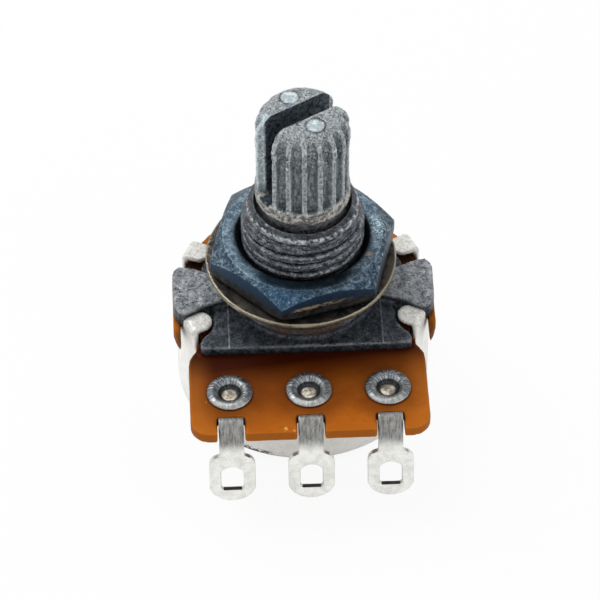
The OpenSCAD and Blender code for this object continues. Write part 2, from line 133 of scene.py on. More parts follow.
def welded_copy(node, name, cut=None):
    """A copy of a CAD node's mesh in millimetres, with its split corners joined.
    cut is a plane's point and normal: what lies on the normal's side is cut away and the cut is closed.
    """
    bm = bmesh.new()
    bm.from_mesh(nodes[node].data)
    bmesh.ops.scale(bm, vec=Vector((1 / MM,) * 3), verts=bm.verts)
    bmesh.ops.remove_doubles(bm, verts=bm.verts, dist=1e-4)
    if cut:
        point, normal = cut
        everything = bm.verts[:] + bm.edges[:] + bm.faces[:]
        result = bmesh.ops.bisect_plane(bm, geom=everything, dist=1e-5, plane_co=Vector(point),
                                        plane_no=Vector(normal), clear_outer=True)
        edges = [e for e in result["geom_cut"] if isinstance(e, bmesh.types.BMEdge)]
        bmesh.ops.holes_fill(bm, edges=edges, sides=0)
        bmesh.ops.triangulate(bm, faces=bm.faces)
    mesh = bpy.data.meshes.new(name)
    bm.to_mesh(mesh)
    bm.free()
    return mesh


def evaluated(mesh, *modifiers):
    """The mesh after a stack of (kind, settings) modifiers."""
    obj = bpy.data.objects.new("work", mesh)
    bpy.context.scene.collection.objects.link(obj)
    for kind, settings in modifiers:
        mod = obj.modifiers.new(kind, kind)
        for key, value in settings.items():
            setattr(mod, key, value)
    out = bpy.data.meshes.new_from_object(obj.evaluated_get(bpy.context.evaluated_depsgraph_get()))
    bpy.data.objects.remove(obj)
    return out


def remeshed(mesh, voxel, smooth):
    """Even quads with softly rounded edges. voxel is in millimetres, as the mesh is."""
    return evaluated(mesh, ("REMESH", {"mode": "VOXEL", "voxel_size": voxel, "adaptivity": 0.0}),
                     ("SMOOTH", {"factor": 0.5, "iterations": smooth}))


def verts_of(mesh):
    co = np.zeros(len(mesh.vertices) * 3)
    mesh.vertices.foreach_get("co", co)
    return co.reshape(-1, 3)


def set_verts(mesh, co):
    mesh.vertices.foreach_set("co", co.ravel())
    mesh.update()


# Large odd numbers that scramble a cell's indices and a seed
HASH_X, HASH_Y, HASH_Z, HASH_SEED, HASH_AGAIN = 374761393, 668265263, 2147483647, 974634777, 1274126177
LOW_32_BITS = 0xFFFFFFFF
LOW_16_BITS = 0xFFFF


def cell_value(cell, seed):
    """A fixed random value from -1 to 1 for each cell, by an integer hash in 32 bits."""
    x, y, z = cell.T
    h = (x * HASH_X + y * HASH_Y + z * HASH_Z + seed * HASH_SEED) & LOW_32_BITS
    h = ((h ^ (h >> 13)) * HASH_AGAIN) & LOW_32_BITS
    return ((h ^ (h >> 16)) & LOW_16_BITS) / (LOW_16_BITS / 2) - 1


def hash_noise(points, seed):
    """Smooth value noise of points, from -1 to 1, at one cell per unit."""
    base = np.floor(points).astype(np.int64)
    f = points - base
    f = f * f * (3 - 2 * f)
    out = np.zeros(len(points))
    for corner in range(8):
        d = np.array([corner & 1, corner >> 1 & 1, corner >> 2 & 1])
        out += cell_value(base + d, seed) * np.prod(np.where(d, f, 1 - f), axis=1)
    return out


def roughened(mesh, amount, cell, seed, octaves=3, where=None):
    """Moves vertices along their normals by layered noise: amount and cell in millimetres.
    where gives each vertex its share of it by place.
    """
    co = verts_of(mesh)
    normals = np.zeros(len(co) * 3)
    mesh.vertices.foreach_get("normal", normals)
    total = np.zeros(len(co))
    for k in range(octaves):
        total += hash_noise(co / cell * 2 ** k, seed + k) / 2 ** k
    if where:
        total *= where(co)
    set_verts(mesh, co + normals.reshape(-1, 3) * total[:, None] * amount)
    return mesh


def joined(name, *meshes):
    """One mesh from several."""
    bm = bmesh.new()
    for m in meshes:
        bm.from_mesh(m)
    out = bpy.data.meshes.new(name)
    bm.to_mesh(out)
    bm.free()
    return out


def piece(name, mesh, node, material):
    """Puts a mesh that is in millimetres into the scene in place of a CAD node, on the node's body.
    No vertex leaves the node's box, so the can's back face stays level with the floor.
    """
    low, high = (np.array(corner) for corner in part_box(node))
    set_verts(mesh, np.clip(verts_of(mesh) * MM, low, high))
    mesh.polygons.foreach_set("use_smooth", [True] * len(mesh.polygons))
    mesh.materials.clear()
    mesh.materials.append(material)
    obj = bpy.data.objects.new(name, mesh)
    bpy.context.scene.collection.objects.link(obj)
    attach(obj, nodes[node]["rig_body"])
    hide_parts(node)


# Material helpers: lengths in millimetres, noise scales per millimetre, masks from 0 to 1

class Shader:
    """A material with a few short calls for its nodes."""

    def __init__(self, name, metallic):
        self.mat = bpy.data.materials.new(name)
        self.mat.use_nodes = True
        self.tree = self.mat.node_tree
        self.bsdf = self.tree.nodes["Principled BSDF"]
        self.bsdf.inputs["Metallic"].default_value = metallic
        coords = self.tree.nodes.new("ShaderNodeTexCoord")
        scale = self.tree.nodes.new("ShaderNodeVectorMath")
        scale.operation = "SCALE"
        scale.inputs["Scale"].default_value = 1 / MM
        self.link(coords.outputs["Object"], scale.inputs[0])
        self.place = scale.outputs[0]

    def link(self, a, b):
        self.tree.links.new(a, b)

    def put(self, value, socket):
        """Sets a socket from a number, a colour or another node's output."""
        if isinstance(value, bpy.types.NodeSocket):
            self.link(value, socket)
        else:
            socket.default_value = value

    def stretched(self, x, y, z, turn=(0, 0, 0)):
        n = self.tree.nodes.new("ShaderNodeMapping")
        n.inputs["Scale"].default_value = (x, y, z)
        n.inputs["Rotation"].default_value = turn
        self.link(self.place, n.inputs["Vector"])
        return n.outputs[0]

    def noise(self, scale, detail=4, rough=0.55, distortion=0.0, place=None):
        n = self.tree.nodes.new("ShaderNodeTexNoise")
        n.inputs["Scale"].default_value = scale
        n.inputs["Detail"].default_value = detail
        n.inputs["Roughness"].default_value = rough
        n.inputs["Distortion"].default_value = distortion
        self.link(place or self.place, n.inputs["Vector"])
        return n.outputs["Fac"]

    def span(self, value, a, b, low=0.0, high=1.0, smooth=True):
        """Maps a..b to low..high and holds the ends."""
        n = self.tree.nodes.new("ShaderNodeMapRange")
        n.interpolation_type = "SMOOTHSTEP" if smooth else "LINEAR"
        self.put(value, n.inputs["Value"])
        for key, v in (("From Min", a), ("From Max", b), ("To Min", low), ("To Max", high)):
            n.inputs[key].default_value = v
        return n.outputs["Result"]

    def math(self, op, a, b=0.0):
        n = self.tree.nodes.new("ShaderNodeMath")
        n.operation = op
        self.put(a, n.inputs[0])
        self.put(b, n.inputs[1])
        return n.outputs[0]

    def band(self, value, a, b, c, d):
        """Rises from 0 to 1 between a and b, and falls back between c and d."""
        return self.product(self.span(value, a, b), self.span(value, c, d, 1, 0))

    def product(self, first, *others):
        for other in others:
            first = self.math("MULTIPLY", first, other)
        return first

    def mix(self, factor, a, b):
        n = self.tree.nodes.new("ShaderNodeMix")
        n.data_type = "RGBA"
        self.put(factor, n.inputs["Factor"])
        self.put(a, n.inputs[6])
        self.put(b, n.inputs[7])
        return n.outputs[2]

    def painted(self, colour, paint, *masks):
        """The colour with a second one laid over it, as strongly as the product of the masks."""
        return self.mix(self.product(*masks), colour, paint)

    def axis(self, i):
        """A component of the place, in millimetres."""
        n = self.tree.nodes.new("ShaderNodeSeparateXYZ")
        self.link(self.place, n.inputs[0])
        return n.outputs[i]

    def aside(self):
        """Distance in millimetres to either side of the middle."""
        return self.math("ABSOLUTE", self.axis(X))

    def facing(self, i):
        """A component of the surface normal in the object's own axes."""
        g = self.tree.nodes.new("ShaderNodeTexCoord")
        n = self.tree.nodes.new("ShaderNodeSeparateXYZ")
        self.link(g.outputs["Normal"], n.inputs[0])
        return n.outputs[i]

    def distance(self, x, y, z=None):
        """Distance in millimetres from a point, or from an upright line through x, y."""
        n = self.tree.nodes.new("ShaderNodeVectorMath")
        n.operation = "DISTANCE"
        if z is None:
            flat = self.tree.nodes.new("ShaderNodeVectorMath")
            flat.operation = "MULTIPLY"
            flat.inputs[1].default_value = (1, 1, 0)
            self.link(self.place, flat.inputs[0])
            self.link(flat.outputs[0], n.inputs[0])
            n.inputs[1].default_value = (x, y, 0)
        else:
            self.link(self.place, n.inputs[0])
            n.inputs[1].default_value = (x, y, z)
        return n.outputs["Value"]

    def edges(self, low, high):
        """0 on flat faces, 1 on worn outer edges."""
        n = self.tree.nodes.new("ShaderNodeNewGeometry")
        return self.span(n.outputs["Pointiness"], low, high)

    def occlusion_shade(self, radius, low=0.35, high=0.9):
        """Mask for painted shade: 0 in the open, 1 in corners and under what lies near, by ambient
        occlusion.
        """
        n = self.tree.nodes.new("ShaderNodeAmbientOcclusion")
        n.samples = 8
        n.inputs["Distance"].default_value = radius * MM
        return self.span(n.outputs["AO"], low, high, 1, 0)

    def bump(self, height, strength, depth):
        """depth is the height in millimetres that a value step of 1 stands for."""
        n = self.tree.nodes.new("ShaderNodeBump")
        n.inputs["Strength"].default_value = strength
        n.inputs["Distance"].default_value = depth * MM
        self.put(height, n.inputs["Height"])
        if self.bsdf.inputs["Normal"].is_linked:
            self.link(self.bsdf.inputs["Normal"].links[0].from_socket, n.inputs["Normal"])
        self.link(n.outputs[0], self.bsdf.inputs["Normal"])

    def finish(self, colour, roughness):
        self.put(colour, self.bsdf.inputs["Base Color"])
        self.put(roughness, self.bsdf.inputs["Roughness"])
        return self.mat


# Materials

SHAFT_DARK = linear(52, 60, 65)
WHITE = (1, 1, 1, 1)

# Spots as the photo shows them, by x and y, and by height too for the one on the knurl's front
OLIVE_SPOT = (0.56, -2.9, 22.2)
# Where the painted highlight on the slot's rear wall lies
SLOT_WALL_HIGHLIGHT = (-2.9, -0.5)
NUT_BLUE = (-1.4, -5.1)
# Where the painted glints on the nut lie
NUT_GLINTS = (4.5, 0.3)
NUT_CHIP = (4.1, -2.1)
CAN_SCUFF = (-3.5, -7.4)

# Place and size of small chips on the board's front edge, with a pale scuff on the left
BOARD_CHIPS = ((-1.6, -11.85, 0.22), (-1.1, -12.0, 0.16), (-6.6, -9.4, 0.12), (4.6, -11.7, 0.1))


def cast_grain(s):
    """Two scales of the cast metal's mottled grain, each near 0 to 1."""
    return s.span(s.noise(3.4, 5, 0.7), 0.43, 0.57), s.span(s.noise(8.84, 3, 0.6), 0.42, 0.58)


def cracks(s, scale, width):
    """Thin winding lines, 1 on a line."""
    off = s.math("ABSOLUTE", s.math("SUBTRACT", s.noise(scale, 3, 0.6, 0.3), 0.5))
    return s.span(off, width, width * 0.3)


def specks(s, scale, low=0.62, high=0.7):
    """Sparse small spots, 1 in a spot."""
    return s.span(s.noise(scale, 2, 0.5), low, high)


def patchy(s):
    """Broad uneven patches that break up a line or a film."""
    return s.span(s.noise(1.8, 5, 0.75), 0.4, 0.58, 0.15, 1)


def ragged(s, distance, amount, scale=5, detail=3, rough=0.55):
    """A distance in millimetres with noise on it, for an uneven edge."""
    return s.math("ADD", distance, s.product(s.noise(scale, detail, rough), amount))


def slot_masks(s):
    """Inside of the shaft's slot, and the strip of its rear wall that catches light at the left."""
    a = math.radians(SLOT_DEG)
    x, y, z = s.axis(X), s.axis(Y), s.axis(Z)
    along = s.math("ADD", s.product(x, math.cos(a)), s.product(y, math.sin(a)))
    across = s.math("SUBTRACT", s.product(y, math.cos(a)), s.product(x, math.sin(a)))
    widening = s.product(s.math("SUBTRACT", z, SLOT_FLOOR), SLOT_WIDENING)
    depth = s.math("SUBTRACT", s.math("ABSOLUTE", across), widening)
    inside = s.product(s.span(depth, SLOT_HALF, SLOT_HALF + 0.05, 1, 0),
                       s.span(z, SLOT_FLOOR - 0.2, SLOT_FLOOR - 0.05))
    lit = s.product(s.span(ragged(s, along, 0.3), -2.28, -2.1, 1, 0), s.span(across, 0.2, 0.4))
    return inside, lit


def knurl_colour(s, grain, fine, height):
    """Mottled grey casting, its smooth dark valleys and the ragged ends of the crests."""
    blotch = s.span(s.noise(1.3, 5, 0.6, 0.4), 0.38, 0.62)
    colour = s.mix(blotch, linear(136, 146, 150), linear(168, 178, 182))
    colour = s.painted(colour, linear(164, 150, 158), s.span(s.noise(2.4, 3), 0.5, 0.64, 0, 0.4))
    radius = s.distance(0, 0)
    valley = s.product(s.span(radius, 2.9, 2.74), s.span(height, SHAFT_TOP - 1.3, SHAFT_TOP - 2.4))
    streaks = s.noise(7, 4, 0.7, 0, s.stretched(1, 1, 0.14))
    green = s.mix(s.span(streaks, 0.42, 0.58), linear(94, 108, 112), linear(180, 194, 196))
    colour = s.painted(colour, SHAFT_DARK, grain, 0.55)
    colour = s.painted(colour, linear(236, 242, 242), fine, 0.5)
    colour = s.painted(colour, linear(30, 34, 38), specks(s, 6), 0.85)
    colour = s.painted(colour, green, valley, 0.6)
    ends = s.band(height, SHAFT_TOP - 3.0, SHAFT_TOP - 2.4, SHAFT_TOP - 1.4, SHAFT_TOP - 0.9)
    torn = s.product(ends, s.span(radius, 2.4, 2.6))
    colour = s.painted(colour, linear(40, 46, 50), cracks(s, 2.6, 0.04), torn, 0.85)
    return s.painted(colour, linear(216, 230, 230), specks(s, 3.4, 0.58, 0.64), torn, 0.8)


def pin_marks(s, colour, grain, height):
    """Round marks of the mould's pins on the shaft's top, each with a dark rim."""
    face = s.span(height, SHAFT_TOP - 0.2, SHAFT_TOP - 0.1)
    bright = s.mix(grain, linear(232, 244, 248), linear(186, 200, 206))
    for side in (-1, 1):
        a = math.radians(SLOT_DEG + 90 * side)
        off = ragged(s, s.distance(MARK_AT * math.cos(a), MARK_AT * math.sin(a)), 0.08)
        rim = s.band(off, MARK_R - 0.06, MARK_R, MARK_R + 0.04, MARK_R + 0.12)
        colour = s.painted(colour, SHAFT_DARK, rim, face, patchy(s), 0.95)
        disc = s.span(off, MARK_R - 0.14, MARK_R - 0.04, 1, 0)
        colour = s.painted(colour, bright, disc, face, 0.92)
    return colour


def neck_and_slot(s, colour, grain, fine, height):
    """Painted shade on the dark grey neck in the bushing's mouth, the cream collar, and painted shade in
    the slot's dark inside.
    """
    # Painted shade on the neck, down in the bushing's mouth
    neck = s.span(height, NECK_TOP - 0.06, NECK_TOP + 0.02, 1, 0)
    collar = s.band(height, NECK_TOP, NECK_TOP + 0.06, COLLAR_TOP - 0.04, COLLAR_TOP + 0.02)
    cream = s.mix(grain, linear(222, 221, 214), linear(112, 109, 104))
    cream = s.painted(cream, linear(70, 66, 62), fine, 0.4)
    colour = s.painted(colour, cream, collar, 0.9)
    colour = s.painted(colour, s.mix(grain, linear(58, 60, 66), linear(112, 112, 116)), neck, 0.9)
    # Painted shade in the slot, except the strip of its rear wall that catches light
    inside, lit = slot_masks(s)
    deep = s.mix(grain, linear(92, 104, 112), linear(48, 56, 62))
    return s.painted(colour, deep, inside, s.math("SUBTRACT", 1.0, lit))


def shaft_metal():
    s = Shader("die_cast_shaft", 0.85)
    grain, fine = cast_grain(s)
    height = s.axis(Z)
    colour = knurl_colour(s, grain, fine, height)
    colour = s.painted(colour, linear(50, 56, 60), cracks(s, 1.7, 0.014), 0.5)
    # Painted highlight: a rough light strip at the left beside the slot, where the slot's rear wall
    # catches light
    strip = s.product(s.span(s.distance(*SLOT_WALL_HIGHLIGHT), 1.0, 0.7),
                      s.span(height, COLLAR_TOP, COLLAR_TOP + 0.8))
    colour = s.painted(colour, linear(226, 240, 246), strip, s.span(fine, 0, 1, 0.4, 0.95))
    colour = s.painted(colour, linear(220, 226, 226), s.edges(0.51, 0.56), 0.6)
    # Painted shade in corners and under nearby parts
    colour = s.painted(colour, linear(60, 68, 74), s.occlusion_shade(0.5), 0.6)
    colour = pin_marks(s, colour, grain, height)
    colour = neck_and_slot(s, colour, grain, fine, height)
    # Small olive spot near the top of the knurl
    spot = ragged(s, s.distance(*OLIVE_SPOT), 0.25, 4)
    colour = s.painted(colour, linear(96, 98, 40), s.span(spot, 0.3, 0.48, 0.85, 0))
    s.bump(grain, 0.8, 0.05)
    s.bump(fine, 0.6, 0.02)
    return s.finish(colour, s.span(grain, 0, 1, 0.36, 0.55, False))


def scribed_lines(s, height):
    """Two straight lines on the front tab, one on each side."""
    off = s.math("ABSOLUTE", s.math("SUBTRACT", s.aside(), TAB_LINE_X))
    tab = s.band(height, BOARD_TOP + 0.6, BOARD_TOP + 0.65, BOARD_TOP + 0.8, BOARD_TOP + 0.9)
    return s.product(s.span(off, 0.03, 0.07, 1, 0), tab, s.span(s.noise(2.5, 2), 0.3, 0.5))


def groove_distance(s):
    """Distance in millimetres along the bushing from the middle of the nearest thread groove."""
    angle = s.math("ARCTAN2", s.axis(Y), s.axis(X))
    lead = s.math("ADD", s.product(angle, 1 / (2 * math.pi)), 0.25)
    turns = s.product(s.math("SUBTRACT", s.axis(Z), FIRST_GROOVE), 1 / THREAD_PITCH)
    phase = s.math("FRACT", s.math("ADD", s.math("SUBTRACT", turns, lead), 0.5))
    return s.product(s.math("ABSOLUTE", s.math("SUBTRACT", phase, 0.5)), THREAD_PITCH)


def thread_colour(s, grain, fine):
    """Dark violet-grey bushing with thin black grooves of painted shade, worn crests with a painted
    highlight, and fine lines round it.
    """
    height = s.axis(Z)
    lines = s.span(s.noise(3, 4, 0.75, 0, s.stretched(0.35, 0.35, 2.4)), 0.42, 0.58)
    colour = s.mix(lines, linear(26, 28, 34), linear(122, 126, 134))
    colour = s.painted(colour, linear(22, 24, 29), grain, 0.5)
    colour = s.painted(colour, linear(186, 192, 198), fine, patchy(s), 0.4)
    wave = s.span(s.noise(2.5, 4, 0.7), 0.3, 0.7, -0.05, 0.05, False)
    off = s.math("ADD", groove_distance(s), wave)
    threaded = s.span(height, TAPER_Z + 0.6, TAPER_Z)
    # Painted highlight along the crests
    crest_highlight = s.product(s.band(off, 0.12, 0.15, 0.17, 0.22), patchy(s), threaded)
    colour = s.painted(colour, linear(190, 196, 202), crest_highlight, 0.6)
    colour = s.painted(colour, linear(14, 15, 19), cracks(s, 1.6, 0.02), 0.6)
    # Painted shade in the grooves
    colour = s.painted(colour, linear(4, 5, 8), s.span(off, 0.04, 0.1, 1, 0), threaded, 0.95)
    # Pale ring at the end, worn and with a painted highlight, and painted shade on the mouth's rim
    # inside it
    ring = s.band(height, NOSE_Z - 0.3, NOSE_Z - 0.04, NOSE_Z + 0.02, NOSE_Z + 0.1)
    broken = s.span(s.noise(2.6, 4, 0.75), 0.44, 0.6)
    colour = s.painted(colour, linear(216, 222, 226), ring, broken, 0.85)
    mouth = s.product(s.span(s.distance(0, 0), NOSE_R - 0.08, NOSE_R - 0.14),
                      s.span(height, NOSE_Z - 0.6, NOSE_Z))
    return s.painted(colour, linear(58, 60, 66), mouth, 0.5)


def plate_colour(s, grain, fine, height):
    """The dark plate and boss, and the paler ears that the can's tabs hold down."""
    blotch = s.span(s.noise(1.6, 5, 0.65), 0.36, 0.64)
    low = s.mix(blotch, linear(60, 67, 74), linear(92, 98, 106))
    low = s.painted(low, linear(24, 26, 30), grain, 0.5)
    low = s.painted(low, linear(146, 152, 158), fine, s.span(s.noise(2.2, 4, 0.7), 0.44, 0.6), 0.4)
    ears = s.mix(blotch, linear(122, 127, 132), linear(178, 182, 187))
    ears = s.painted(ears, linear(74, 78, 84), grain, 0.32)
    ears = s.painted(ears, linear(222, 226, 228), fine, 0.22)
    ears = s.painted(ears, linear(44, 47, 52), cracks(s, 1.1, 0.025), 0.6)
    on_ear = s.band(height, EAR_TOP - 0.3, EAR_TOP - 0.1, EAR_TOP + 0.1, EAR_TOP + 0.3)
    return s.mix(on_ear, low, ears)


def boss_stain(s, height):
    """Brown stain low on the front wall of the boss."""
    front = s.product(s.span(s.distance(0, 0), 5.9, 5.6), s.span(s.aside(), 2.9, 1.9))
    wall = s.band(height, BOARD_TOP + 0.8, BOARD_TOP + 0.95, BOARD_TOP + 1.5, BOARD_TOP + 1.9)
    return s.product(front, wall, s.span(s.axis(Y), -3.0, -3.6), s.span(s.noise(1.6, 4), 0.3, 0.5))


def plate_metal():
    s = Shader("die_cast_plate", 0.9)
    grain, fine = cast_grain(s)
    height = s.axis(Z)
    colour = plate_colour(s, grain, fine, height)
    colour = s.painted(colour, thread_colour(s, grain, fine), s.span(height, BOSS_TOP, BOSS_TOP + 0.2))
    colour = s.painted(colour, linear(176, 182, 186), s.edges(0.51, 0.58), 0.5)
    colour = s.painted(colour, linear(150, 158, 162), scribed_lines(s, height), 0.8)
    scratch = s.span(s.noise(3, 2, 0.5, 0, s.stretched(9, 0.5, 1, (0, 0, 0.5))), 0.68, 0.74)
    colour = s.painted(colour, linear(150, 156, 160), scratch, 0.5)
    colour = s.painted(colour, linear(24, 26, 30), cracks(s, 1.5, 0.012), 0.6)
    colour = s.painted(colour, linear(22, 24, 28), specks(s, 5, 0.63, 0.68), 0.7)
    colour = s.painted(colour, linear(98, 70, 46), boss_stain(s, height), 0.7)
    # Painted shade in corners and under nearby parts
    colour = s.painted(colour, linear(16, 18, 21), s.occlusion_shade(0.6), 0.5)
    s.bump(grain, 0.6, 0.05)
    s.bump(fine, 0.4, 0.015)
    return s.finish(colour, s.span(fine, 0, 1, 0.36, 0.56, False))


def nut_top(s, streak, fine, grain, up):
    """Blue-grey plating, with painted shade, dark and blue, on the chamfer, and bluer at the front
    corner.
    """
    colour = s.mix(s.span(streak, 0.4, 0.62), linear(72, 94, 110), linear(150, 172, 186))
    colour = s.painted(colour, linear(48, 64, 78), fine, 0.5)
    colour = s.painted(colour, linear(206, 222, 232), s.span(grain, 0.54, 0.64, 0, 0.32))
    # Painted shade on the chamfer, broken into patches
    chamfer_shade = s.span(s.noise(3.2, 5, 0.7, 0.6), 0.4, 0.6, 0.2, 0.85)
    colour = s.painted(colour, linear(28, 46, 64), s.span(up, 0.97, 0.9), chamfer_shade)
    # Painted highlight along the top's edge
    line = s.product(s.band(up, 0.93, 0.965, 0.985, 0.995), patchy(s))
    colour = s.painted(colour, linear(150, 178, 198), line, 0.4)
    blue = s.product(s.span(s.distance(*NUT_BLUE), 0.5, 3.2, 1, 0), s.span(streak, 0.3, 0.6, 0.5, 1))
    colour = s.painted(colour, linear(44, 88, 126), blue, 0.45)
    colour = s.painted(colour, linear(18, 28, 38), cracks(s, 1.8, 0.016), 0.55)
    colour = s.painted(colour, linear(190, 210, 222), specks(s, 5, 0.63, 0.68), 0.35)
    # Painted glints at the right corner
    glints = s.span(s.noise(6, 4, 0.7), 0.5, 0.56)
    corner = s.span(s.distance(*NUT_GLINTS), 0.4, 1.6, 1, 0)
    return s.painted(colour, linear(214, 240, 250), corner, glints, 0.8)


def nut_sides(s, colour, streak, up):
    """Brown-grey sides below the chamfer, with a golden line along their top at the front right."""
    height = s.axis(Z)
    upright = s.span(s.math("ABSOLUTE", up), 0.4, 0.15)
    side = s.mix(s.span(streak, 0.4, 0.6), linear(24, 24, 25), linear(66, 62, 57))
    side = s.painted(side, linear(34, 58, 82), s.span(height, NUT_TOP - 1.35, NUT_TOP - 1.1))
    colour = s.painted(colour, side, upright, 0.9)
    rim = s.band(height, NUT_TOP - 1.35, NUT_TOP - 1.2, NUT_TOP - 1.1, NUT_TOP - 0.95)
    front = s.product(s.band(s.axis(X), -1.1, -0.6, 1.2, 3.4), s.span(s.axis(Y), -4.0, -4.6))
    gold = s.product(rim, front, s.span(s.noise(4, 4, 0.7), 0.4, 0.55))
    return s.painted(colour, linear(196, 172, 128), gold, 0.8)


def bushing_reflection_shade(s):
    """Painted reflection and shade of the bushing in the corner round the thread, wider at the front."""
    wide = s.product(s.span(s.distance(0, -0.45), 4.4, 5.15, 1, 0), s.span(s.aside(), 3.9, 2.4),
                     s.span(s.axis(Y), 0, -1))
    narrow = s.product(s.span(s.distance(0, 0), 4.3, 4.75, 1, 0), s.span(s.axis(Y), 2.6, 0.6))
    return s.math("MAXIMUM", wide, narrow)


def nut_metal():
    s = Shader("plated_nut", 0.95)
    streak = s.noise(2.2, 7, 0.75, 0.5)
    fine = s.span(s.noise(6, 7, 0.8), 0.42, 0.58)
    grain = s.noise(14, 5, 0.75)
    up = s.facing(Z)
    colour = nut_top(s, streak, fine, grain, up)
    colour = nut_sides(s, colour, streak, up)
    chip = ragged(s, s.distance(*NUT_CHIP), 0.35, 6)
    colour = s.painted(colour, linear(176, 158, 136), s.span(chip, 0.32, 0.44, 0.8, 0))
    worn = s.product(s.edges(0.52, 0.6), s.span(s.math("ABSOLUTE", up), 0.3, 0.6))
    colour = s.painted(colour, linear(186, 200, 208), worn, 0.5)
    # Painted reflection and shade of the bushing on the nut's top
    colour = s.painted(colour, linear(12, 24, 32), bushing_reflection_shade(s), 0.92)
    # Painted shade in corners and under nearby parts
    colour = s.painted(colour, linear(14, 18, 22), s.occlusion_shade(0.5), 0.8)
    s.bump(grain, 0.4, 0.015)
    s.bump(fine, 0.4, 0.02)
    s.bump(streak, 0.35, 0.08)
    return s.finish(colour, s.span(streak, 0.3, 0.7, 0.3, 0.48))


def washer_metal():
    s = Shader("stained_washer", 0.9)
    grain = s.noise(10, 5, 0.7)
    patch = s.noise(1.0, 4, 0.6, 0.5)
    colour = s.mix(s.span(patch, 0.38, 0.64), linear(56, 55, 54), linear(94, 88, 80))
    colour = s.painted(colour, linear(34, 32, 30), s.span(grain, 0.56, 0.75, 0, 0.5))
    # Painted light: the rim's upright sides lighter and browner than the top
    rim = s.span(s.facing(Z), 0.85, 0.2)
    colour = s.painted(colour, linear(124, 104, 80), rim, 0.5)
    colour = s.painted(colour, linear(190, 184, 162), s.edges(0.505, 0.55), 0.65)
    s.bump(grain, 0.4, 0.012)
    return s.finish(colour, s.span(patch, 0.3, 0.7, 0.3, 0.48))


def board_colour(s, cloud, fibre):
    """Painted shade and light: dark and red under the plate, brighter evenly towards the front edge and
    to the right, darker round the eyelets; paler again at the rear.
    """
    # Painted shade near the plate and painted light towards the front and the right
    slanted = s.math("ADD", s.axis(Y), s.product(s.axis(X), -0.12))
    frontness = s.span(slanted, -6.0, -11.4, 0, 1, False)
    colour = s.mix(frontness, linear(52, 14, 1), linear(170, 90, 18))
    # Painted shade round each eyelet
    for x in EYELET_XS:
        near = s.span(s.distance(x, EYELET_Y - 0.2), 1.4, 3.1, 1, 0)
        colour = s.painted(colour, linear(82, 32, 4), near, 0.5)
    side = s.product(s.span(s.aside(), 5.8, 7.4), s.span(s.axis(Y), -5.0, -8.0))
    colour = s.painted(colour, linear(190, 108, 34), side, 0.45)
    colour = s.painted(colour, linear(200, 118, 34), s.span(cloud, 0.35, 0.65, 0, 0.2), frontness)
    colour = s.painted(colour, linear(96, 44, 8), s.span(fibre, 0.5, 0.72, 0, 0.22), frontness)
    rear = s.mix(s.span(cloud, 0.35, 0.65), linear(150, 84, 22), linear(184, 106, 32))
    return s.mix(s.span(s.axis(Y), -4.0, -2.6), colour, rear)


def laminate():
    s = Shader("orange_brown_laminate", 0.0)
    cloud = s.noise(0.55, 3, 0.5)
    fibre = s.noise(5, 5, 0.65, 0, s.stretched(0.5, 1, 1))
    fine = s.noise(24, 3, 0.6)
    colour = board_colour(s, cloud, fibre)
    # Painted shade in corners and under nearby parts
    colour = s.painted(colour, linear(48, 16, 3), s.occlusion_shade(0.9, 0.3, 0.9), 0.75)
    # Painted shadow in the gaps between the ears and the rear tabs
    gap_shadow = s.product(s.band(s.aside(), 5.4, 5.9, 7.6, 8.0), s.band(s.axis(Y), 1.6, 2.1, 3.5, 4.0))
    colour = s.painted(colour, linear(30, 18, 11), gap_shadow, 0.88)
    edge = s.span(s.math("ABSOLUTE", s.facing(Z)), 0.5, 0.2)
    colour = s.painted(colour, linear(132, 74, 18), edge, 0.5)
    colour = s.painted(colour, linear(200, 124, 46), s.edges(0.505, 0.56), 0.2)
    for x, y, size in BOARD_CHIPS:
        chip = ragged(s, s.distance(x, y), 0.5, 6, 4, 0.7)
        colour = s.painted(colour, linear(232, 176, 100), s.span(chip, size + 0.1, size + 0.2, 0.8, 0))
    s.bump(fibre, 0.25, 0.015)
    s.bump(fine, 0.3, 0.008)
    s.bsdf.inputs["Specular IOR Level"].default_value = 0.06
    return s.finish(colour, s.span(fibre, 0.3, 0.7, 0.42, 0.58))


def rolled_streaks(s):
    """Noise drawn out along the radii of each eyelet, from its rolling."""
    total = None
    for x in EYELET_XS:
        from_centre = s.tree.nodes.new("ShaderNodeVectorMath")
        from_centre.operation = "SUBTRACT"
        from_centre.inputs[1].default_value = (x, EYELET_Y, 0)
        s.link(s.place, from_centre.inputs[0])
        parts = s.tree.nodes.new("ShaderNodeSeparateXYZ")
        s.link(from_centre.outputs[0], parts.inputs[0])
        angle = s.math("ARCTAN2", parts.outputs[Y], parts.outputs[X])
        polar = s.tree.nodes.new("ShaderNodeCombineXYZ")
        radius = s.distance(x, EYELET_Y)
        s.put(s.product(angle, 6.0), polar.inputs[X])
        s.put(s.product(radius, 0.8), polar.inputs[Y])
        local = s.product(s.noise(2.4, 4, 0.7, 0, polar.outputs[0]), s.span(radius, 1.9, 2.0, 1, 0))
        total = local if total is None else s.math("ADD", total, local)
    return total


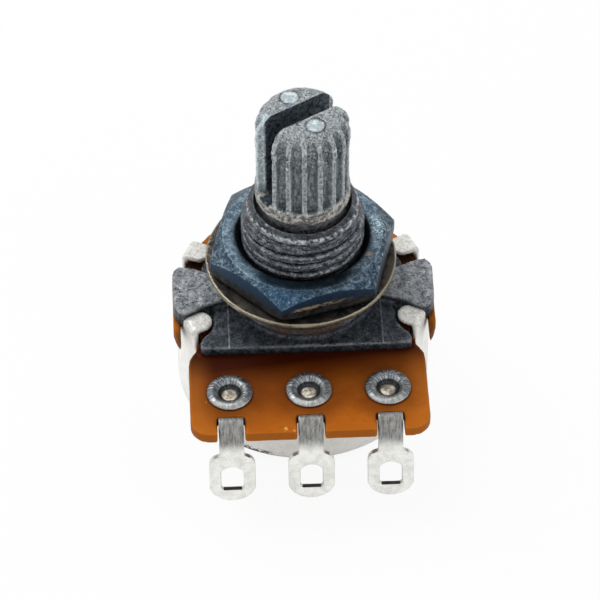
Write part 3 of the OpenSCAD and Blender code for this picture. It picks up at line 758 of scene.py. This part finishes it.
def eyelet_metal():
    s = Shader("rolled_eyelet", 0.9)
    height = s.axis(Z)
    grain = s.noise(14, 5, 0.7)
    streaks = rolled_streaks(s)
    colour = s.mix(s.span(grain, 0.36, 0.66), linear(74, 80, 88), linear(146, 150, 154))
    rolled = s.span(height, BOARD_TOP + 0.1, BOARD_TOP + 0.22)
    colour = s.painted(colour, linear(214, 216, 214), s.span(streaks, 0.5, 0.62), 0.8)
    colour = s.painted(colour, linear(44, 48, 54), s.span(streaks, 0.48, 0.4), rolled, 0.75)
    colour = s.painted(colour, linear(198, 198, 194), s.edges(0.52, 0.6), 0.4)
    # Painted highlight: lighter towards the front of each flange
    front = s.span(s.axis(Y), EYELET_Y - 0.4, EYELET_Y - 1.2, 0, 0.45)
    colour = s.painted(colour, linear(206, 206, 200), front)
    # Painted shade in the dark throat round the bright solder floor
    low = s.span(height, BOARD_TOP + 0.12, BOARD_TOP + 0.02)
    colour = s.painted(colour, linear(24, 24, 26), low, 0.85)
    solder = s.mix(s.span(s.noise(3.5, 2), 0.4, 0.6), linear(226, 218, 204), linear(150, 138, 122))
    deep = s.span(height, BOARD_TOP - 0.3, BOARD_TOP - 0.2)
    for x in EYELET_XS:
        colour = s.painted(colour, solder, s.span(s.distance(x, EYELET_Y), 0.42, 0.54, 1, 0), deep)
    s.bump(streaks, 0.6, 0.05)
    s.bump(grain, 0.3, 0.01)
    return s.finish(colour, s.span(grain, 0.3, 0.7, 0.28, 0.46))


def tin(name, low, high, pits, metallic=0.7):
    """Tin plating that a can or a lug finishes: its shader, colour and roughness."""
    s = Shader(name, metallic)
    cloud = s.noise(1.6, 5, 0.6, 0.3)
    grain = s.noise(8, 6, 0.8)
    colour = s.mix(s.span(cloud, 0.35, 0.65), low, high)
    colour = s.painted(colour, linear(112, 108, 98), s.span(grain, 0.56, 0.66, 0, pits))
    colour = s.painted(colour, linear(246, 246, 242), s.edges(0.51, 0.58), 0.5)
    # Painted shade in corners and under nearby parts
    colour = s.painted(colour, linear(74, 66, 54), s.occlusion_shade(0.4), 0.6)
    s.bump(grain, 0.4, 0.012)
    s.bump(cloud, 0.3, 0.05)
    return s, colour, s.span(grain, 0.3, 0.7, 0.32, 0.5)


def can_metal():
    s, colour, rough = tin("tin_plated_can", linear(246, 245, 240), linear(255, 255, 252), 0.35, 0.15)
    height = s.axis(Z)
    tabs = s.span(height, BOARD_TOP + 0.3, BOARD_TOP + 0.6)
    dull = s.span(s.noise(5, 5, 0.75), 0.42, 0.58, 0.2, 0.7)
    colour = s.painted(colour, linear(176, 173, 164), tabs, dull)
    # Dark scuff along the back edge at the front left
    scuff = s.product(s.span(height, 0.8, 0.6), s.span(s.distance(*CAN_SCUFF), 0.8, 1.5, 1, 0))
    colour = s.painted(colour, linear(16, 15, 14), scuff, s.span(s.noise(4, 4), 0.42, 0.5), 0.95)
    rim = s.product(s.span(height, 0.3, 0.12), s.span(s.noise(5, 5, 0.8), 0.4, 0.6))
    colour = s.painted(colour, linear(120, 116, 106), rim, 0.6)
    return s.finish(colour, rough)


def lug_metal():
    s, colour, rough = tin("tin_plated_lug", linear(232, 232, 226), linear(252, 252, 248), 0.45)
    height = s.axis(Z)
    # Painted dark reflection on the upper part of each lug's strip
    reflection_streaks = s.noise(7, 5, 0.75, 0, s.stretched(1, 0.3, 0.18))
    grey = s.mix(s.span(reflection_streaks, 0.4, 0.6), linear(82, 82, 82), linear(152, 151, 148))
    colour = s.painted(colour, grey, s.span(height, LUG_REFLECTION_Z, LUG_REFLECTION_Z + 1.0, 0, 0.88))
    # Bare punched edges that face up: the shoulders and the foot of the eye
    cut = s.product(s.span(s.facing(Z), 0.85, 0.95), s.span(height, LUG_EYE_Z, LUG_EYE_Z - 0.2))
    colour = s.painted(colour, linear(40, 26, 20), cut, 0.95)
    return s.finish(colour, rough)


def plain(name, low, high, metallic, rough):
    """A simple finish for what lies inside: two tones, grain and a light bump."""
    s = Shader(name, metallic)
    grain = s.noise(6, 5, 0.65)
    s.bump(grain, 0.3, 0.01)
    colour = s.mix(s.span(grain, 0.35, 0.65), low, high)
    return s.finish(colour, s.span(grain, 0.3, 0.7, rough, rough + 0.15))


# Pieces

def bushing_skin(z):
    """Radius of the bushing without its grooves at each height."""
    return np.interp(z, [TAPER_Z, NOSE_Z - 0.08, NOSE_Z, NOSE_Z + 0.05, BUSHING_TOP],
                     [THREAD_R, NOSE_R + 0.03, NOSE_R, NOSE_R - 0.05, MOUTH_R])


def threaded_radius(turn, height):
    """Radius of the bushing's outside by angle and height: a helical groove, shallower where worn."""
    points = np.stack([THREAD_R * np.cos(turn), THREAD_R * np.sin(turn), height], -1).reshape(-1, 3)
    dents = np.clip(hash_noise(points * DENTS_PER_MM, seed=5).reshape(turn.shape), 0, 1)
    grain = hash_noise(points * GRAINS_PER_MM, seed=9).reshape(turn.shape)
    lead = (turn + math.pi / 2) / (2 * math.pi)
    lead = np.where(lead > 0.5, lead - 1, lead)
    phase = (height - FIRST_GROOVE - lead * THREAD_PITCH) / THREAD_PITCH
    near = np.abs(phase - np.round(phase)) * THREAD_PITCH
    groove = np.clip(1 - near / GROOVE_HALF, 0, 1)
    worn = np.clip((height - WEAR_FROM) / WEAR_LENGTH, 0, 1)
    depth = THREAD_DEPTH * (1 - WEAR_SHARE * worn) * (1 - DENT_SHARE * dents)
    threaded = np.clip((NOSE_Z - 0.2 - height) / 0.4, 0, 1)
    cut = (groove * depth + DENT_DEPTH * dents) * threaded
    return bushing_skin(height) - cut + GRAIN_HEIGHT * grain


def threaded_bushing():
    """Closed tube in millimetres: threaded outside, worn ring, mouth and bore inside."""
    around, along = 300, 130
    low = NUT_TOP - 0.5
    angles = np.linspace(0, 2 * math.pi, around, endpoint=False)
    turn, height = np.meshgrid(angles, np.linspace(low, BUSHING_TOP, along))
    radius = threaded_radius(turn, height)
    rings = [np.stack([radius * np.cos(turn), radius * np.sin(turn), height], -1)]
    inside = [(MOUTH_R - 0.04, BUSHING_TOP - 0.03), (BORE_R + 0.05, BUSHING_TOP - MOUTH_DEPTH * 0.6),
              (BORE_R, BUSHING_TOP - MOUTH_DEPTH), (BORE_R, low)]
    for r, z in inside:
        rings.append(np.stack([r * np.cos(angles), r * np.sin(angles), np.full(around, z)], -1)[None])
    rows = np.concatenate(rings)
    index = np.arange(len(rows) * around).reshape(len(rows), around)
    right = np.roll(index, -1, axis=1)
    below = np.roll(index, -1, axis=0)
    faces = np.stack([index, right, np.roll(below, -1, axis=1), below], -1).reshape(-1, 4)
    mesh = bpy.data.meshes.new("thread")
    mesh.from_pydata(rows.reshape(-1, 3).tolist(), [], faces.tolist())
    mesh.update()
    return mesh


def make_plate():
    lower = welded_copy("bushing_plate", "plate_low", ((0, 0, NUT_TOP - 0.3), (0, 0, 1)))
    lower = roughened(remeshed(lower, voxel=0.115, smooth=2), amount=0.02, cell=0.35, seed=3)
    mesh = joined("cast_plate", lower, threaded_bushing())
    piece("cast_plate_and_bushing", mesh, "bushing_plate", plate_metal())


def chipped_zone(co):
    """Share of the ragged chips by place: the upper ends of the knurl's crests."""
    radius, z = np.hypot(co[:, 0], co[:, 1]), co[:, 2]
    rises = np.clip((z - CHIPS_FROM) / 0.5, 0, 1)
    falls = np.clip((CHIPS_TO - z) / 0.4, 0, 1)
    return rises * falls * np.clip((radius - CHIPS_R) / 0.3, 0, 1)


def make_shaft():
    """Knurl, collar and neck are remeshed and roughened. The hidden rest of the shaft stays plain."""
    split = BUSHING_TOP - 0.8
    upper = welded_copy("shaft", "shaft_up", ((0, 0, split), (0, 0, -1)))
    upper = roughened(remeshed(upper, voxel=0.068, smooth=2), amount=0.018, cell=0.28, seed=11)
    upper = roughened(upper, amount=0.08, cell=0.5, seed=17, octaves=2, where=chipped_zone)
    lower = welded_copy("shaft", "shaft_low", ((0, 0, split + 0.1), (0, 0, 1)))
    piece("split_knurled_shaft", joined("knurled_shaft", upper, lower), "shaft", shaft_metal())


def make_remeshed(name, node, material, voxel, smooth, rough, cell, seed):
    mesh = remeshed(welded_copy(node, name), voxel, smooth)
    piece(name, roughened(mesh, rough, cell, seed), node, material)


make_plate()
make_shaft()
make_remeshed("plated_hex_nut", "hex_nut", nut_metal(),
              voxel=0.08, smooth=3, rough=0.006, cell=0.5, seed=21)
make_remeshed("thin_washer", "flat_washer", washer_metal(),
              voxel=0.1, smooth=1, rough=0.006, cell=0.6, seed=31)
make_remeshed("laminate_board", "resistor_board", laminate(),
              voxel=0.12, smooth=1, rough=0.008, cell=0.6, seed=41)
eyelet_finish = eyelet_metal()
lug_finish = lug_metal()
for i, side in enumerate(("left", "centre", "right")):
    make_remeshed("rolled_eyelet_" + side, "eyelet_" + side, eyelet_finish,
                  voxel=0.05, smooth=2, rough=0.01, cell=0.3, seed=51 + i)
    make_remeshed("solder_lug_" + side, "lug_" + side, lug_finish,
                  voxel=0.055, smooth=3, rough=0.006, cell=0.4, seed=61 + i)
make_remeshed("tinned_can", "rear_can", can_metal(),
              voxel=0.145, smooth=2, rough=0.008, cell=0.7, seed=71)

finishes = {
    "carbon_ink": plain("printed_carbon", linear(24, 24, 26), linear(44, 44, 46), 0.0, 0.6),
    "silver_ink": plain("printed_silver", linear(150, 150, 152), linear(190, 190, 192), 0.6, 0.45),
    "spring_steel": plain("spring_steel_finish", linear(110, 112, 116), linear(160, 162, 166), 0.9, 0.3),
    "rotor_plastic": plain("moulded_rotor", linear(30, 30, 32), linear(52, 52, 54), 0.0, 0.5),
    "spring_bronze": plain("bronze_sheet", linear(160, 112, 56), linear(206, 160, 96), 0.9, 0.3),
}
for node, slot in slot_of.items():
    if slot in finishes:
        nodes[node].data.materials[0] = finishes[slot]


# Floor, light and camera

FLOOR_HALF = 0.6
FLOOR_GREY = (0.86, 0.86, 0.86, 1)
FLOOR_WHITE = 0.91
SKY_LIGHT = 0.74
LIGHT_TARGET = (0, 0, 0.01)


def stage_material():
    """White that the camera sees as the photo's plain ground, with the object's soft shadow kept."""
    mat = bpy.data.materials.new("pale_floor")
    mat.use_nodes = True
    tree = mat.node_tree
    tree.nodes.clear()
    path = tree.nodes.new("ShaderNodeLightPath")
    diffuse = tree.nodes.new("ShaderNodeBsdfDiffuse")
    diffuse.inputs["Color"].default_value = FLOOR_GREY
    glow = tree.nodes.new("ShaderNodeEmission")
    glow.inputs["Color"].default_value = WHITE
    seen = tree.nodes.new("ShaderNodeMath")
    seen.operation = "MULTIPLY"
    seen.inputs[1].default_value = FLOOR_WHITE
    mix = tree.nodes.new("ShaderNodeMixShader")
    out = tree.nodes.new("ShaderNodeOutputMaterial")
    tree.links.new(path.outputs["Is Camera Ray"], seen.inputs[0])
    tree.links.new(seen.outputs[0], mix.inputs[0])
    tree.links.new(diffuse.outputs[0], mix.inputs[1])
    tree.links.new(glow.outputs[0], mix.inputs[2])
    tree.links.new(mix.outputs[0], out.inputs[0])
    return mat


def make_floor():
    mesh = bpy.data.meshes.new("floor")
    corners = [(FLOOR_HALF * x, FLOOR_HALF * y, 0) for x, y in ((-1, -1), (1, -1), (1, 1), (-1, 1))]
    mesh.from_pydata(corners, [], [(0, 1, 2, 3)])
    mesh.materials.append(stage_material())
    floor = bpy.data.objects.new("floor", mesh)
    bpy.context.scene.collection.objects.link(floor)


def make_world():
    """White to the camera, and a softer sky for the light on the object."""
    world = bpy.data.worlds.new("soft_sky")
    world.use_nodes = True
    tree = world.node_tree
    back = tree.nodes["Background"]
    path = tree.nodes.new("ShaderNodeLightPath")
    seen = tree.nodes.new("ShaderNodeMath")
    seen.operation = "MAXIMUM"
    tree.links.new(path.outputs["Is Camera Ray"], seen.inputs[0])
    tree.links.new(path.outputs["Is Transmission Ray"], seen.inputs[1])
    strength = tree.nodes.new("ShaderNodeMapRange")
    strength.inputs["To Min"].default_value = SKY_LIGHT
    strength.inputs["To Max"].default_value = 1.0
    tree.links.new(seen.outputs[0], strength.inputs["Value"])
    tree.links.new(strength.outputs[0], back.inputs["Strength"])
    back.inputs["Color"].default_value = WHITE
    bpy.context.scene.world = world


def area_light(name, place, size, power):
    data = bpy.data.lights.new(name, "AREA")
    data.shape = "SQUARE"
    data.size = size
    data.energy = power
    light = bpy.data.objects.new(name, data)
    light.location = place
    light.rotation_euler = (Vector(LIGHT_TARGET) - Vector(place)).to_track_quat("-Z", "Y").to_euler()
    bpy.context.scene.collection.objects.link(light)


# Fitted to the photo: where the camera stands from its target, in metres, and its lens in millimetres
CAMERA_AZIMUTH = math.radians(-2.47)
CAMERA_ELEVATION = math.radians(47.15)
CAMERA_ROLL = math.radians(-0.175)
CAMERA_DISTANCE = 0.2297
CAMERA_TARGET = Vector((-0.00018, 0, 0.00662))
CAMERA_LENS = 209.4


def make_camera():
    """Looks at the target from the azimuth and elevation, rolled a little about its own axis."""
    az, el = CAMERA_AZIMUTH, CAMERA_ELEVATION
    back = Vector((math.sin(az) * math.cos(el), -math.cos(az) * math.cos(el), math.sin(el)))
    right = Vector((math.cos(az), math.sin(az), 0))
    up = back.cross(right)
    x = right * math.cos(CAMERA_ROLL) + up * math.sin(CAMERA_ROLL)
    y = up * math.cos(CAMERA_ROLL) - right * math.sin(CAMERA_ROLL)
    data = bpy.data.cameras.new("camera")
    data.lens = CAMERA_LENS
    data.sensor_width = 36
    data.clip_start = 0.01
    data.clip_end = 5
    cam = bpy.data.objects.new("camera", data)
    turn = Matrix((x, y, back)).transposed().to_4x4()
    cam.matrix_world = Matrix.Translation(CAMERA_TARGET + back * CAMERA_DISTANCE) @ turn
    bpy.context.scene.collection.objects.link(cam)
    bpy.context.scene.camera = cam


make_floor()
make_world()
area_light("key", (-0.10, 0.08, 0.20), size=0.12, power=0.20)
area_light("fill", (0.14, -0.14, 0.16), size=0.16, power=0.08)
make_camera()
bpy.context.scene.view_settings.view_transform = "Standard"
